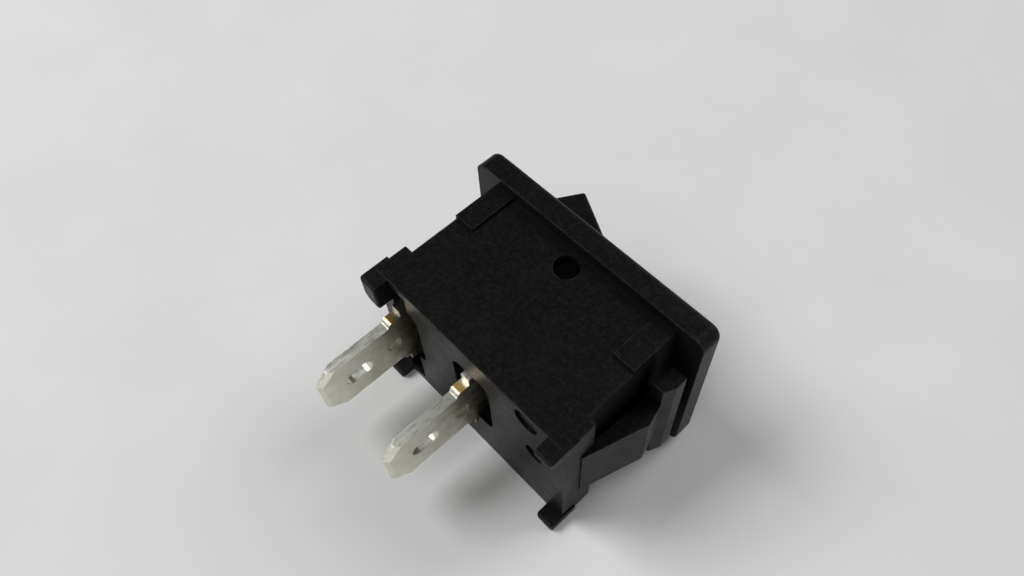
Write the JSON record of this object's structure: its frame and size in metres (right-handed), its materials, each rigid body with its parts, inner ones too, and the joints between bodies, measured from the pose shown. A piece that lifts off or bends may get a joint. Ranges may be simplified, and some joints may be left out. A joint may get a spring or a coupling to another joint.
{
  "type": "rocker switch",
  "caption": "Miniature snap-in panel rocker switch with a rectangular bezel, sprung side arms and push-on blade terminals below.",
  "frame": {"origin": "middle of the bezel's underside, the plane that seats on the panel", "axes": "+Z out of the panel through the rocker, +X along the bezel towards the rocker's pressed (on) end, +Y across the bezel"},
  "size_m": [0.021, 0.015, 0.0229],
  "materials": {
    "housing_nylon": "black glass-filled nylon, fine satin texture",
    "rocker_nylon": "black nylon, satin",
    "plunger_acetal": "natural white acetal, smooth",
    "spring_steel": "drawn spring steel wire",
    "blade_brass": "rolled brass strip",
    "contact_silver": "silver alloy, turned",
    "terminal_tin": "tin-plated brass, satin, with brass-coloured cut edges"
  },
  "bodies": {
    "housing": {"housing": "housing_nylon", "common_terminal": "terminal_tin", "end_terminal": "terminal_tin", "fixed_contact": "contact_silver"},
    "rocker": {"rocker": "rocker_nylon", "actuator_spring": "spring_steel"},
    "plunger": {"plunger": "plunger_acetal"},
    "blade": {"contact_blade": "blade_brass", "moving_contact": "contact_silver"}
  },
  "joints": [
    {"name": "rocker_tilt", "type": "hinge", "parent": "housing", "child": "rocker", "pos_m": [0, 0, -0.00142], "axis": [0, 1, 0], "range_deg": [-27, 0]},
    {"name": "plunger_slide", "type": "slide", "parent": "rocker", "child": "plunger", "axis": [0.2334, 0, 0.9724], "range_m": [0, 0.0006], "stiffness_N_per_m": 800, "deforming": ["actuator_spring"]},
    {"name": "blade_rock", "type": "hinge", "parent": "housing", "child": "blade", "pos_m": [0, 0, -0.0068], "axis": [0, 1, 0], "range_deg": [0, 16]}
  ],
  "couplings": [
    {"joint": "blade_rock", "follows": "rocker_tilt", "ratio": -0.5925}
  ]
}
